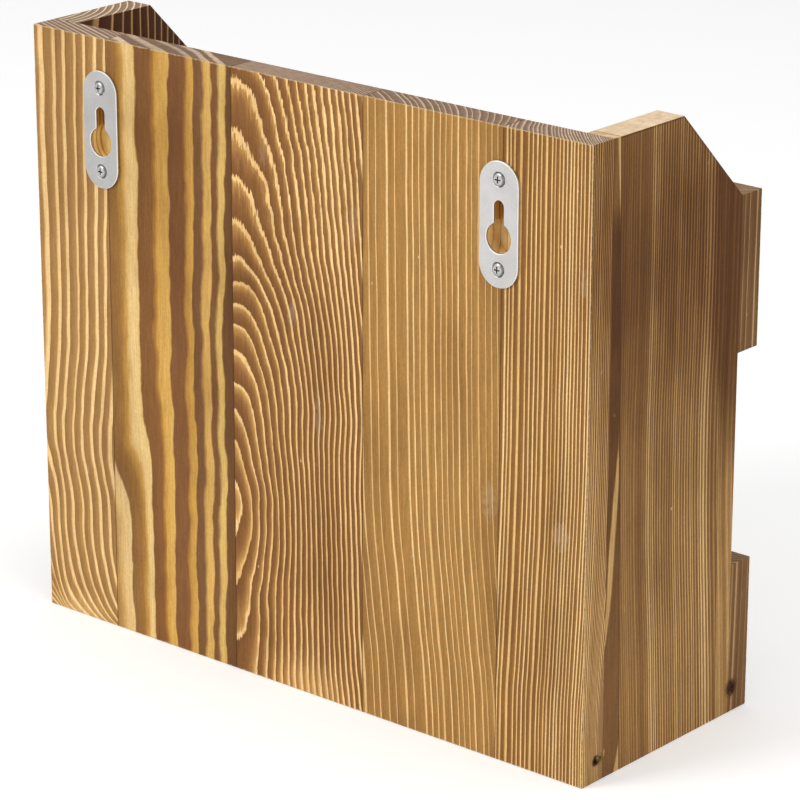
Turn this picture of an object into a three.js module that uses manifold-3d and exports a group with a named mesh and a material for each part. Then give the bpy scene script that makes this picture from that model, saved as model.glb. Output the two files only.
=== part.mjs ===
// Wall file holder of flamed pine: an open-topped box with a sloped top on its sides,
// two front slats with a window between them, and two keyhole plates on the back.
// Millimetres, +Z up, back towards +Y, front slats towards -Y, origin under the middle.

import * as THREE from 'three';
import { mergeVertices } from 'three/addons/utils/BufferGeometryUtils.js';
import Module from 'manifold-3d';

const wasm = await Module();
wasm.setup();

// Outer sizes of the wooden box
const holderWidth = 340;
const holderDepth = 126;
const backHeight = 300;
const boardThickness = 15;

// Cut-off top front corner of the side panels
const slopeRun = 46;
const slopeDrop = 46;

// Front slats, with the window between them
const upperSlatHeight = 75;
const lowerSlatHeight = 75;

// Staves of the edge-glued stock: sawn ones at the ends, and full ones of one width between them
const fullStaves = 3;
const backEndStaves = { left: 49.8, right: 47.8 };
const backGlueLean = -1.4;
const upperSlatEndStaves = { left: 66, right: 31.6 };
const lowerSlatEndStaves = { left: 35, right: 62.6 };
const slatGlueLean = 0;
const leftSideRearStave = 8.4;
const leftSideFrontStave = 13.6;
const leftSideGlueLean = 7.6;
const rightSideFrontStave = 28;
const rightSideGlueLean = -3;

// Wooden dowels
const dowelRadius = 3;
const dowelLength = 30;
const dowelSkin = 5;
const dowelClearance = 0.3;
const dowelChamfer = 1;
const sideDowelFromTop = 40;
const sideDowelFromBottom = 45;
const slatDowelInset = 20;
const bottomDowelInset = 22;
const bottomDowelFromSide = 55;

// Keyhole plates
const plateWidth = 22;
const plateHeight = 58;
const plateThickness = 1.5;
const plateFromTop = 15.5;
const rightPlateInset = 45.2;
const leftPlateInset = 50.3;
const keyholeRadius = 7;
const keyholeSlotWidth = 5.6;
const keyholeDrop = 6.1;
const keyholeSlotRise = 8.2;
const pocketClearance = 0.8;
const pocketDepth = 7;

// Plate screws
const screwSpacing = 41;
const screwHeadRadius = 3.3;
const screwHeadRise = 0.9;
const screwCountersink = 1.3;
const screwShankRadius = 1.5;
const screwPointLength = 3;
const screwWoodCover = 4;
const screwClearance = 0.3;
const recessSpan = 3.2;
const recessWidth = 0.7;
const recessDepth = 1.2;

// Open knots in the left side
const backKnot = { inset: 11.4, height: 10.6, halfLength: 2.8, halfHeight: 1.7, depth: 2.2 };
const slatKnot = { inset: 12.2, height: 11, halfLength: 2.4, halfHeight: 2.9, depth: 0.9 };

// Facets
const arcSegments = 20;
const dowelSides = 12;
const domeSteps = 4;
const cutOverrun = 1;
const screwSides = 20;

// Places worked out from the sizes above
const backFace = holderDepth / 2;
const backInner = backFace - boardThickness;
const frontFace = -holderDepth / 2;
const frontInner = frontFace + boardThickness;
const sideOuter = holderWidth / 2;
const sideInner = sideOuter - boardThickness;
const sideMiddle = sideOuter - boardThickness / 2;
const frontHeight = backHeight - slopeDrop;
const windowTop = frontHeight - upperSlatHeight;
const plateMiddle = backHeight - plateFromTop - plateHeight / 2;
const plateFace = backFace + plateThickness;
const dowelFaceDepth = boardThickness - dowelSkin;
const dowelEdgeDepth = dowelLength - dowelFaceDepth;
const screwTip = backFace - boardThickness + screwWoodCover;

// Materials
function finish(name, color, roughness, metalness) {
  return new THREE.MeshStandardMaterial({ name, color, roughness, metalness });
}

const pineLight = finish('flamed_pine_light', 0xb98d52, 0.6, 0);
const pineDark = finish('flamed_pine_dark', 0x8b6840, 0.6, 0);
const beech = finish('beech_dowel', 0xd9bc92, 0.6, 0);
const plateSteel = finish('plate_steel', 0xc8c8cc, 0.38, 1);
const screwSteel = finish('screw_steel', 0xd2d2d0, 0.28, 1);

// Solids for cutting, and meshes back from them
function solidOf(geometry) {
  const bare = geometry.clone();
  bare.deleteAttribute('normal');
  bare.deleteAttribute('uv');
  const merged = mergeVertices(bare, 1e-4);
  return new wasm.Manifold(new wasm.Mesh({
    numProp: 3,
    vertProperties: new Float32Array(merged.attributes.position.array),
    triVerts: new Uint32Array(merged.index.array),
  }));
}

function geometryOf(solid) {
  const mesh = solid.getMesh();
  const geometry = new THREE.BufferGeometry();
  geometry.setAttribute('position', new THREE.BufferAttribute(new Float32Array(mesh.vertProperties), 3));
  geometry.setIndex(new THREE.BufferAttribute(new Uint32Array(mesh.triVerts), 1));
  const flat = geometry.toNonIndexed();
  flat.computeVertexNormals();
  return flat;
}

function cutFrom(solid, cutters) {
  return cutters.reduce((rest, cutter) => rest.subtract(cutter), solid);
}

// A round bar or bore along X or Y, from one place to another
function roundBar(axis, start, end, across, height, radius) {
  const length = Math.abs(end - start);
  const bar = new THREE.CylinderGeometry(radius, radius, length, dowelSides);
  const middle = (start + end) / 2;
  if (axis === 'x') {
    bar.rotateZ(Math.PI / 2);
    bar.translate(middle, across, height);
  } else {
    bar.translate(across, middle, height);
  }
  return bar;
}

// Dowels: each one crosses a joint, short in the face of one board and long in the edge of the other
const dowels = [];

function addDowel(name, axis, joint, intoFace, across, height) {
  dowels.push({
    name,
    axis,
    start: joint + intoFace * dowelFaceDepth,
    end: joint - intoFace * dowelEdgeDepth,
    across,
    height,
  });
}

const highBackDowel = backHeight - sideDowelFromTop;
const backDowelHeights = [sideDowelFromBottom, (sideDowelFromBottom + highBackDowel) / 2, highBackDowel];
const upperSlatDowelHeights = [windowTop + slatDowelInset, frontHeight - slatDowelInset];
const lowerSlatDowelHeights = [slatDowelInset, lowerSlatHeight - slatDowelInset];
const bottomDowelPlaces = [frontInner + bottomDowelInset, backInner - bottomDowelInset];

for (const [side, direction] of [['left', -1], ['right', 1]]) {
  const x = direction * sideMiddle;
  const joint = direction * sideInner;
  backDowelHeights.forEach((height, row) => {
    addDowel(`${side}_back_dowel_${row + 1}`, 'y', backInner, 1, x, height);
  });
  upperSlatDowelHeights.forEach((height, row) => {
    addDowel(`${side}_upper_slat_dowel_${row + 1}`, 'y', frontInner, -1, x, height);
  });
  lowerSlatDowelHeights.forEach((height, row) => {
    addDowel(`${side}_lower_slat_dowel_${row + 1}`, 'y', frontInner, -1, x, height);
  });
  bottomDowelPlaces.forEach((y, row) => {
    addDowel(`${side}_bottom_dowel_${row + 1}`, 'x', joint, direction, y, boardThickness / 2);
  });
}

[-1, 0, 1].forEach((step, place) => {
  const x = step * (sideInner - bottomDowelFromSide);
  addDowel(`back_bottom_dowel_${place + 1}`, 'y', backInner, 1, x, boardThickness / 2);
  addDowel(`front_bottom_dowel_${place + 1}`, 'y', frontInner, -1, x, boardThickness / 2);
});

const dowelBores = dowels.map(({ axis, start, end, across, height }) => {
  const reach = Math.sign(end - start) * dowelClearance;
  return solidOf(roundBar(axis, start - reach, end + reach, across, height, dowelRadius + dowelClearance));
});

// Outline of the keyhole, round below with a narrow slot above, around the plate's middle
function keyholePath(path, grow) {
  const radius = keyholeRadius + grow;
  const half = keyholeSlotWidth / 2 + grow;
  const meeting = Math.asin(half / radius);
  path.absarc(0, -keyholeDrop, radius, Math.PI / 2 + meeting, Math.PI / 2 - meeting + 2 * Math.PI, false);
  path.absarc(0, keyholeSlotRise, half, 0, Math.PI, false);
  path.closePath();
  return path;
}

// Sheet of an outline drawn in X and Z, standing between two places in Y
function standingSheet(shape, fromY, toY) {
  const options = { depth: toY - fromY, bevelEnabled: false, curveSegments: arcSegments };
  const sheet = new THREE.ExtrudeGeometry(shape, options);
  sheet.rotateX(Math.PI / 2);
  sheet.translate(0, toY, 0);
  return sheet;
}

// Keyhole plates and their screws
const platePlaces = { left: -(sideOuter - leftPlateInset), right: sideOuter - rightPlateInset };
const screwRows = { upper: screwSpacing / 2, lower: -screwSpacing / 2 };

function plateOutline() {
  const radius = plateWidth / 2;
  const straight = plateHeight / 2 - radius;
  const outline = new THREE.Shape();
  outline.absarc(0, straight, radius, 0, Math.PI, false);
  outline.absarc(0, -straight, radius, Math.PI, 2 * Math.PI, false);
  outline.closePath();
  outline.holes.push(keyholePath(new THREE.Path(), 0));
  return outline;
}

// Screw from its point to the top of its raised head, along +Y from the plate's face
function screwBody() {
  const profile = [
    [0, screwTip - plateFace],
    [screwShankRadius, screwTip - plateFace + screwPointLength],
    [screwShankRadius, -screwCountersink],
  ];
  for (let step = 0; step < domeSteps; step += 1) {
    const turn = (step / domeSteps) * (Math.PI / 2);
    profile.push([screwHeadRadius * Math.cos(turn), screwHeadRise * Math.sin(turn)]);
  }
  profile.push([0, screwHeadRise]);
  return turned(profile);
}

// What a screw needs cleared in the plate and the wood
function screwBore() {
  return turned([
    [0, screwTip - plateFace - screwClearance],
    [screwShankRadius + screwClearance, screwTip - plateFace + screwPointLength],
    [screwShankRadius + screwClearance, -screwCountersink - screwClearance],
    [screwHeadRadius + screwClearance, 0],
    [screwHeadRadius + screwClearance, cutOverrun],
    [0, cutOverrun],
  ]);
}

function turned(profile) {
  return new THREE.LatheGeometry(profile.map(([r, y]) => new THREE.Vector2(r, y)), screwSides);
}

function screwSolid() {
  const armHeight = 2 * recessDepth;
  const arm = new THREE.BoxGeometry(recessSpan, armHeight, recessWidth);
  arm.translate(0, screwHeadRise + armHeight / 2 - recessDepth, 0);
  const crossArm = arm.clone().rotateY(Math.PI / 2);
  return cutFrom(solidOf(screwBody()), [solidOf(arm), solidOf(crossArm)]);
}

const screwBores = [];
const pockets = [];
for (const x of Object.values(platePlaces)) {
  const outline = keyholePath(new THREE.Shape(), pocketClearance);
  const pocket = standingSheet(outline, backFace - pocketDepth, backFace + cutOverrun);
  pockets.push(solidOf(pocket.translate(x, 0, plateMiddle)));
  for (const rise of Object.values(screwRows)) {
    screwBores.push(solidOf(screwBore().translate(x, plateFace, plateMiddle + rise)));
  }
}

// Open knots: shallow dishes in the left end faces of the back and the lower slat
function knotDish({ height, halfLength, halfHeight, depth }, y) {
  const dish = new THREE.SphereGeometry(1, 14, 8);
  dish.scale(depth, halfLength, halfHeight);
  dish.translate(-sideOuter, y, height);
  return solidOf(dish);
}

const knotDishes = [
  knotDish(backKnot, backFace - backKnot.inset),
  knotDish(slatKnot, frontFace + slatKnot.inset),
];
const woodCuts = [...dowelBores, ...screwBores, ...pockets, ...knotDishes];

// Staves: an upright outline split by glue lines that lean about the middle of the height
function clipped(outline, glueLine, direction) {
  const beyond = ([run, z]) => {
    const line = glueLine.place + glueLine.lean * ((z - backHeight / 2) / backHeight);
    return direction * (run - line);
  };
  const kept = [];
  outline.forEach((point, index) => {
    const next = outline[(index + 1) % outline.length];
    const here = beyond(point);
    const there = beyond(next);
    if (here >= 0) {
      kept.push(point);
    }
    if (here * there < 0) {
      const share = here / (here - there);
      kept.push(point.map((value, axis) => value + share * (next[axis] - value)));
    }
  });
  return kept;
}

// Glue lines across the width: one beside each end stave, the others at even steps between them
function linesAcross(endStaves, lean) {
  const first = -sideOuter + endStaves.left;
  const last = sideOuter - endStaves.right;
  const lines = [];
  for (let step = 0; step <= fullStaves; step += 1) {
    lines.push({ place: first + (step / fullStaves) * (last - first), lean });
  }
  return { direction: 1, lines };
}

// Glue lines of a side, counted from the back
function linesInSide(places, lean) {
  return { direction: -1, lines: places.map((place) => ({ place, lean })) };
}

function rectangle(fromRun, toRun, fromZ, toZ) {
  return [[fromRun, fromZ], [toRun, fromZ], [toRun, toZ], [fromRun, toZ]];
}

// A stave's outline lies in X and Z, or in Y and Z, and its thickness runs from one place across that plane
function staveSheet(plane, outline, fromThickness) {
  const shape = new THREE.Shape(outline.map(([run, z]) => new THREE.Vector2(run, z)));
  const sheet = new THREE.ExtrudeGeometry(shape, { depth: boardThickness, bevelEnabled: false });
  sheet.rotateX(Math.PI / 2);
  if (plane === 'xz') {
    return sheet.translate(0, fromThickness + boardThickness, 0);
  }
  return sheet.rotateZ(Math.PI / 2).translate(fromThickness, 0, 0);
}

function gluedPanel({ name, plane, outline, gluing, fromThickness, material }) {
  const { direction, lines } = gluing;
  const panel = new THREE.Group();
  for (let index = 0; index <= lines.length; index += 1) {
    const after = index > 0 ? clipped(outline, lines[index - 1], direction) : outline;
    const part = index < lines.length ? clipped(after, lines[index], -direction) : after;
    const board = cutFrom(solidOf(staveSheet(plane, part, fromThickness)), woodCuts);
    panel.add(namedMesh(`${name}_stave_${index + 1}`, geometryOf(board), material));
  }
  return panel;
}

function namedMesh(name, geometry, material) {
  const mesh = new THREE.Mesh(geometry, material);
  mesh.name = name;
  return mesh;
}

// Back panel
function backPanel() {
  return gluedPanel({
    name: 'back',
    plane: 'xz',
    outline: rectangle(-sideOuter, sideOuter, 0, backHeight),
    gluing: linesAcross(backEndStaves, backGlueLean),
    fromThickness: backInner,
    material: pineLight,
  });
}

// Side panels between the back and the slats, with the top front corner cut off
function sidePanel(name, fromThickness, gluing) {
  return gluedPanel({
    name,
    plane: 'yz',
    outline: [
      [frontInner, 0],
      [backInner, 0],
      [backInner, backHeight],
      [frontInner + slopeRun, backHeight],
      [frontInner, frontHeight],
    ],
    gluing,
    fromThickness,
    material: pineDark,
  });
}

// Front slats of upright staves, across the front edges of the sides
function frontSlat(name, fromZ, toZ, endStaves) {
  return gluedPanel({
    name,
    plane: 'xz',
    outline: rectangle(-sideOuter, sideOuter, fromZ, toZ),
    gluing: linesAcross(endStaves, slatGlueLean),
    fromThickness: frontFace,
    material: pineDark,
  });
}

// Bottom board between the sides, the back and the lower slat
function bottomBoard() {
  const board = new THREE.BoxGeometry(2 * sideInner, backInner - frontInner, boardThickness);
  board.translate(0, (backInner + frontInner) / 2, boardThickness / 2);
  return namedMesh('bottom_board', geometryOf(cutFrom(solidOf(board), woodCuts)), pineDark);
}

// Chamfered dowels, drawn along Y from their first end
function dowelSet() {
  const set = new THREE.Group();
  const profile = [
    [0, 0],
    [dowelRadius - dowelChamfer, 0],
    [dowelRadius, dowelChamfer],
    [dowelRadius, dowelLength - dowelChamfer],
    [dowelRadius - dowelChamfer, dowelLength],
    [0, dowelLength],
  ];
  const geometry = new THREE.LatheGeometry(profile.map(([r, y]) => new THREE.Vector2(r, y)), dowelSides);
  dowels.forEach(({ name, axis, start, end, across, height }) => {
    const dowel = namedMesh(name, geometry, beech);
    const first = Math.min(start, end);
    if (axis === 'x') {
      dowel.rotation.z = -Math.PI / 2;
      dowel.position.set(first, across, height);
    } else {
      dowel.position.set(across, first, height);
    }
    set.add(dowel);
  });
  return set;
}

// Keyhole plates with countersunk screws
function keyholePlates() {
  const set = new THREE.Group();
  const screw = geometryOf(screwSolid());
  for (const [side, x] of Object.entries(platePlaces)) {
    const sheet = standingSheet(plateOutline(), backFace, plateFace);
    const plate = cutFrom(solidOf(sheet.translate(x, 0, plateMiddle)), screwBores);
    set.add(namedMesh(`${side}_keyhole_plate`, geometryOf(plate), plateSteel));
    for (const [row, rise] of Object.entries(screwRows)) {
      const mesh = namedMesh(`${side}_plate_${row}_screw`, screw, screwSteel);
      mesh.position.set(x, plateFace, plateMiddle + rise);
      set.add(mesh);
    }
  }
  return set;
}

// Glue lines of the two sides
const leftSidePlaces = [backInner - leftSideRearStave, frontInner + leftSideFrontStave];
const leftSideGluing = linesInSide(leftSidePlaces, leftSideGlueLean);
const rightSideGluing = linesInSide([frontInner + rightSideFrontStave], rightSideGlueLean);

// The whole holder, with the middle of its depth at the origin, screw heads included
const holder = new THREE.Group();
holder.position.y = -(plateThickness + screwHeadRise) / 2;
holder.add(backPanel());
holder.add(sidePanel('left_side', -sideOuter, leftSideGluing));
holder.add(sidePanel('right_side', sideInner, rightSideGluing));
holder.add(frontSlat('upper_slat', windowTop, frontHeight, upperSlatEndStaves));
holder.add(frontSlat('lower_slat', 0, lowerSlatHeight, lowerSlatEndStaves));
holder.add(bottomBoard());
holder.add(dowelSet());
holder.add(keyholePlates());

export default holder;
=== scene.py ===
# %% [markdown]
# # A wall file holder of flamed pine
# The holder is a box of edge-glued pine boards with a slatted front, seen here from behind, where two steel
# keyhole plates are screwed on. The boards were scorched and then brushed: the soft early wood of each year
# burned brown and the hard late wood stayed pale, so the annual rings stand out as lines. The shapes come
# from the measured model, and this lesson grows believable wood on them.

# %% Start from the measured model
from functools import partial
from math import radians
import bpy
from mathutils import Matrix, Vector

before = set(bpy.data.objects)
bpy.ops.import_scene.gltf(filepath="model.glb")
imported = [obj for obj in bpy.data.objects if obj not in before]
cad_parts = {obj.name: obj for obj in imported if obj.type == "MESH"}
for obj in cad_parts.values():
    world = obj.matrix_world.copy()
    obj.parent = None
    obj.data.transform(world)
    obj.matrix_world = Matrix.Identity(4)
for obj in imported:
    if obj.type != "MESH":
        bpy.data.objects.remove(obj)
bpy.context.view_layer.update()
bpy.ops.object.select_all(action="DESELECT")
print("pieces:", len(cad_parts))

# %% [markdown]
# ## Two helpers
# Colours are given as sRGB hex values, and a first function turns them into linear light. A second
# adds a node, sets it up and links it. Below, new is this function with its tree already chosen. The kind
# may carry a mode, as in Math ADD or Mix RGBA. Values go into the sockets in order or by name, and a node
# stands for its first output. A ramp spreads its colours evenly, unless they come with places.

# %% Colours
def linear(hex_colour):
    """An sRGB colour such as B98D52 as the linear colour that the renderer works in."""
    channels = [int(hex_colour[i:i + 2], 16) / 255 for i in (0, 2, 4)]
    return (*[c / 12.92 if c <= 0.04045 else ((c + 0.055) / 1.055) ** 2.4 for c in channels], 1)


print("flamed pine in linear light:", [round(v, 3) for v in linear("B98D52")])

# %% A node with its settings and links
MODES = {"MapRange": "interpolation_type", "Mix": "data_type", "TexNoise": "noise_dimensions",
         "TexWhiteNoise": "noise_dimensions"}


def add(tree, kind, sockets=(), stops=(), points=(), **settings):
    """Add a node: its sockets in order or by name, ramp stops or curve points, and its own settings."""
    kind, _, mode = kind.partition(" ")
    node = tree.nodes.new(kind if kind.startswith("NodeGroup") else "ShaderNode" + kind)
    if mode:
        settings[MODES.get(kind, "operation")] = mode
    for name, value in settings.items():
        setattr(node, name, value)
    # The order counts only the sockets that these settings leave in use
    in_use = [socket for socket in node.inputs if socket.enabled]
    for place, value in sockets.items() if isinstance(sockets, dict) else zip(in_use, sockets):
        socket = node.inputs[place] if isinstance(place, str) else place
        if isinstance(value, str):
            value = linear(value)
        if isinstance(value, bpy.types.Node):
            value = next(output for output in value.outputs if output.enabled)
        if isinstance(value, bpy.types.NodeSocket):
            tree.links.new(value, socket)
        else:
            socket.default_value = value
    if stops:
        ramp = node.color_ramp
        while len(ramp.elements) < len(stops):
            ramp.elements.new(1)
        for number, (element, stop) in enumerate(zip(ramp.elements, stops)):
            place, colour = (number / (len(stops) - 1), stop) if isinstance(stop, str) else stop
            element.position = place
            element.color = linear(colour)
    if points:
        line = node.mapping.curves[0]
        while len(line.points) < len(points):
            line.points.new(1, 1)
        for point, place in zip(line.points, points):
            point.location = place
        node.mapping.update()
    return node


print("kinds that carry a mode of their own:", sorted(MODES))

# %% [markdown]
# ## Where on the board are we?
# Wood has three directions: along the fibres, across the face, and into the board. Each board gets these as
# millimetres, measured from the face that shows most, so every number in the recipes is a real size. Two
# masks mark the sawn ends of the fibres and the board's narrow edges.

# %% Directions of the boards
TO_MM = 1000
WIDTH, DEPTH, HEIGHT = 340, 126, 300
# The rear and front faces of the wood are this far from the origin
REAR, FRONT = 61.8, 64.2
ALONG_Z = ("Z", 0, 1)
FROM_BACK, FROM_RIGHT = ("Y", REAR, -1), ("X", WIDTH / 2, -1)
BACK = {"across": FROM_RIGHT, "into": FROM_BACK, "along": ALONG_Z}
LEFT_SIDE = {"across": FROM_BACK, "into": ("X", WIDTH / 2, 1), "along": ALONG_Z}
RIGHT_SIDE = {"across": FROM_BACK, "into": FROM_RIGHT, "along": ALONG_Z}
SLAT = {"across": FROM_RIGHT, "into": ("Y", FRONT, 1), "along": ALONG_Z}
BOTTOM = {"across": FROM_BACK, "into": ("Z", 0, 1), "along": FROM_RIGHT}


def new_tree(name):
    """An empty material, and what adds nodes to it."""
    material = bpy.data.materials.new(name)
    material.use_nodes = True
    material.node_tree.nodes.clear()
    return material, partial(add, material.node_tree)


def new_board(name, directions):
    """What adds nodes to a board; its material, millimetres, point and masks; the millimetres again."""
    material, new = new_tree("flamed_pine_" + name)
    where = new("TexCoord")
    metres = new("SeparateXYZ", [where.outputs["Object"]])
    facing = new("SeparateXYZ", [where.outputs["Normal"]])
    place = {"material": material}
    for way, (axis, origin, sign) in directions.items():
        place[way] = new("Math MULTIPLY_ADD", [metres.outputs[axis], sign * TO_MM, origin])
    place["point"] = new("CombineXYZ", [place["across"], place["into"], place["along"]])
    for mask, way, low, high in (("end", "along", 0.45, 0.85), ("side", "across", 0.5, 0.9)):
        square = new("Math ABSOLUTE", [facing.outputs[directions[way][0]]])
        place[mask] = new("MapRange SMOOTHSTEP", [square, low, high])
    return new, place, place["across"], place["into"], place["along"]


print("boards are measured", sorted(BACK))

# %% [markdown]
# ## Drawn curves and natural wander
# Fibres never run quite straight. A drawn curve says how far they wander sideways from the bottom of a
# board to its top, and a stretched noise adds the small unsteadiness that every tree has. A soft oval places
# a darker patch, a knot or a rub.

# %% A curve, a noise and an oval, all in millimetres
def drawn(new, value, points):
    """A smooth curve through listed points, not all of one height, given and read in millimetres."""
    low_x, high_x = points[0][0], points[-1][0]
    heights = [y for _, y in points]
    low_y, high_y = min(heights), max(heights)
    unit = [((x - low_x) / (high_x - low_x), (y - low_y) / (high_y - low_y)) for x, y in points]
    share = new("MapRange", [value, low_x, high_x])
    curve = new("FloatCurve", {"Value": share}, points=unit)
    return new("MapRange", [curve, 0, 1, low_y, high_y])


def unsteady(new, place, sizes, reach, seed, detail=2):
    """Noise between -reach and +reach, in spots of these sizes across, into and along the board."""
    sockets = [place["point"], [1 / size for size in sizes], [seed * 3.7] * 3]
    scaled = new("VectorMath MULTIPLY_ADD", sockets)
    noise = new("TexNoise", [scaled, 1, detail])
    return new("MapRange", [noise, 0.25, 0.75, -reach, reach], clamp=False)


def oval(new, place, way, middle, along, width, height):
    """1 in the middle of a soft oval and 0 beyond its rim, measured across or into the board."""
    x = new("Math MULTIPLY_ADD", [place[way], 1 / width, -middle / width])
    z = new("Math MULTIPLY_ADD", [place["along"], 1 / height, -along / height])
    apart = new("VectorMath LENGTH", [new("CombineXYZ", [x, z])])
    return new("MapRange SMOOTHSTEP", [apart, 0, 1, 1, 0])


print("tools:", drawn.__name__, unsteady.__name__, oval.__name__)

# %% [markdown]
# ## One year of growth
# Each year the wood starts soft and ends hard, and the next year starts soft again at once. So a flamed ring
# goes slowly from brown through gold to pale, and drops back to brown at a sharp edge. The whole part of a
# ring number is the year, and its fraction is the time of the year. Luck gives each year its own share of
# late wood and its own paleness. Every board uses this recipe, so it is a node group.

# %% The luck of each year
def new_group(name, inputs, outputs):
    """A node group with sockets listed by kind, what adds nodes to it, and what it is given."""
    group = bpy.data.node_groups.new(name, "ShaderNodeTree")
    for side, listed in (("INPUT", inputs), ("OUTPUT", outputs)):
        for kind, sockets in listed.items():
            for socket in sockets:
                group.interface.new_socket(socket, in_out=side, socket_type="NodeSocket" + kind)
    return group, partial(add, group), add(group, "NodeGroupInput").outputs


growth, new, given = new_group(
    "annual_rings", {"Float": ["Ring", "Late share", "Fade", "Variation", "Seed"]}, {"Float": ["Tone"]})
year = new("Math FLOOR", [given["Ring"]])
season = new("Math FRACT", [given["Ring"]])
number = new("Math ADD", [year, given["Seed"]])
luck = new("TexWhiteNoise 1D", {"W": number})
lucks = new("SeparateColor", [luck.outputs["Color"]])
spread = new("MapRange", [lucks.outputs[0], 0, 1, -0.6, 0.6])
change = new("Math MULTIPLY_ADD", [spread, given["Variation"], 1])
share = new("Math MULTIPLY", [change, given["Late share"]])
dimmer = new("Math MULTIPLY", [lucks.outputs[1], given["Variation"]])
bright = new("MapRange", [dimmer, 0, 1, 1, 0.4])
print(growth.name, "takes", [socket.name for socket in given if socket.name])

# %% [markdown]
# Late wood sets in over a time that is as long as itself. Before that, the early wood lightens slowly, and
# faster towards its end. The year closes within its last sixteenth.

# %% Late wood, early wood and the sharp end of a year
starts = new("Math SUBTRACT", [1, share])
begins = new("Math MULTIPLY_ADD", [share, -2, 1])
rise = new("MapRange SMOOTHSTEP", [season, begins, starts])
late = new("Math MULTIPLY", [rise, bright])
slowly = new("Math POWER", [season, 1.5])
early = new("Math MULTIPLY", [slowly, given["Fade"]])
higher = new("Math MAXIMUM", [late, early])
ends = new("MapRange SMOOTHSTEP", [season, 0.94, 1, 1, 0])
tone = new("Math MULTIPLY", [higher, ends])
new("NodeGroupOutput", {"Tone": tone})


def grown(new, years, late, fade, variation, seed):
    """The tone of the wood, from 0 for early wood to 1 for late wood, where years counts the rings."""
    sockets = {"Ring": years, "Late share": late, "Fade": fade, "Variation": variation, "Seed": seed}
    return new("Group", sockets, node_tree=growth)


print(growth.name, "has", len(growth.nodes), "nodes")

# %% [markdown]
# ## Flaming, brushing and sawing
# A second group does what the workshop did: the flame went over the board unevenly, the brush left fine
# streaks along the fibres, and the sawn ends turned a greyer brown. It gives a colour, a roughness and a
# height. The brush comes first, because its streaks are on everything.

# %% Brush streaks
worked, new, given = new_group("flamed_and_brushed", {
    "Color": ["Colour", "End brown", "End pale"],
    "Float": ["Tone", "Across", "Into", "Along", "End", "Glue", "Burn"],
}, {"Color": ["Colour"], "Float": ["Roughness", "Height"]})
here = {"point": new("CombineXYZ", [given["Across"], given["Into"], given["Along"]])}
# Drawn 0.5 mm wide in place of the real 0.1 mm, to show at this distance
streak = unsteady(new, here, (0.5, 0.5, 12), 1, 5, detail=3)
# Bundles of fibres, 2 mm wide and 40 mm long, took the flame a little differently
bundle = unsteady(new, here, (2.2, 2.2, 40), 1, 11)
# Fine mottling left by the brush, about 1 mm in size
mottle = unsteady(new, here, (0.8, 0.8, 1.2), 1, 8, detail=3)
shading = new("Math MULTIPLY_ADD", [streak, 0.18, 1])
shading = new("Math MULTIPLY_ADD", [bundle, 0.07, shading])
shading = new("Math MULTIPLY_ADD", [mottle, 0.11, shading])
brushed = new("VectorMath SCALE", [given["Colour"], shading])
print(worked.name, "takes", [socket.name for socket in given if socket.name])

# %% [markdown]
# The flame lingered in patches a few centimetres wide and about a hand long, and followed the bundles of
# fibres. Charring multiplies the colour, as a glaze would, so the rings stay visible under it.

# %% Flame
CHAR = (0.42, 0.33, 0.25, 1)
lingered = unsteady(new, here, (30, 30, 70), 0.32, 2)
lingered = new("Math MULTIPLY_ADD", [bundle, 0.12, lingered])
burned = new("Math ADD", [lingered, given["Burn"]], use_clamp=True)
glaze = new("Mix RGBA", [burned, (1, 1, 1, 1), CHAR])
flamed = new("VectorMath MULTIPLY", [brushed, glaze])
print("a full flame leaves", CHAR[:3], "of the colour")

# %% [markdown]
# End grain shows the same rings in greyer colours, mottled by open pores, half a millimetre wide as drawn
# here, and by stains of a few millimetres where the flame crept in.

# %% End grain
end_tone = new("Mix RGBA", [given["Tone"], given["End brown"], given["End pale"]])
pores = unsteady(new, here, (0.5, 0.5, 0.5), 0.1, 3, detail=3)
stains = unsteady(new, here, (4, 3, 4), 0.16, 6)
uneven = new("Math ADD", [pores, stains])
uneven = new("Math ADD", [uneven, 1])
end_colour = new("VectorMath SCALE", [end_tone, uneven])
both = new("Mix RGBA", [given["End"], flamed, end_colour])
print("end grain joined,", len(worked.nodes), "nodes so far")

# %% [markdown]
# Splinters pulled up by the brush leave pale flecks, up to 2 mm long, so a fleck is a small spot in a few
# cells of a cell pattern. Handling left dull, whitish rubs of 5 by 10 mm, and glue shows as a hair of brown.

# %% Flecks, rubs and glue
FLECK_CELL = (9, 9, 18)
COMMON = 0.88
cells = new("VectorMath MULTIPLY", [here["point"], [1 / size for size in FLECK_CELL]])
fleck = new("TexVoronoi", {"Vector": cells, "Scale": 1})
chance = new("SeparateColor", [fleck.outputs["Color"]])
near = new("MapRange", [fleck.outputs["Distance"], 0.06, 0.03, 0, 0.6])
rare = new("Math GREATER_THAN", [chance.outputs[0], COMMON])
shown = new("Math MULTIPLY", [near, rare])
seen = new("Mix RGBA", [shown, both, "F3D9AE"])
handled = unsteady(new, here, (5, 5, 10), 1, 14)
rubs = new("MapRange", [handled, 0.95, 1.5, 0, 0.35])
seen = new("Mix RGBA", [rubs, seen, "D8CCBB"])
seen = new("Mix RGBA", [given["Glue"], seen, "4A2E1C"])
print("one cell in", round(1 / (1 - COMMON)), "holds a fleck")

# %% [markdown]
# Hard late wood is smoother than the brushed early wood and stands up a little between it. End grain is the
# driest and dullest.

# %% Roughness and relief
smooth = new("MapRange", [given["Tone"], 0, 1, 0.6, 0.46])
rough = new("Mix", [given["End"], smooth, 0.75])
height = new("Math MULTIPLY", [given["Tone"], 0.8])
height = new("Math MULTIPLY_ADD", [streak, 0.08, height])
height = new("Math MULTIPLY_ADD", [mottle, 0.05, height])
new("NodeGroupOutput", {"Colour": seen, "Roughness": rough, "Height": height})
print(worked.name, "has", len(worked.nodes), "nodes")
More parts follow.
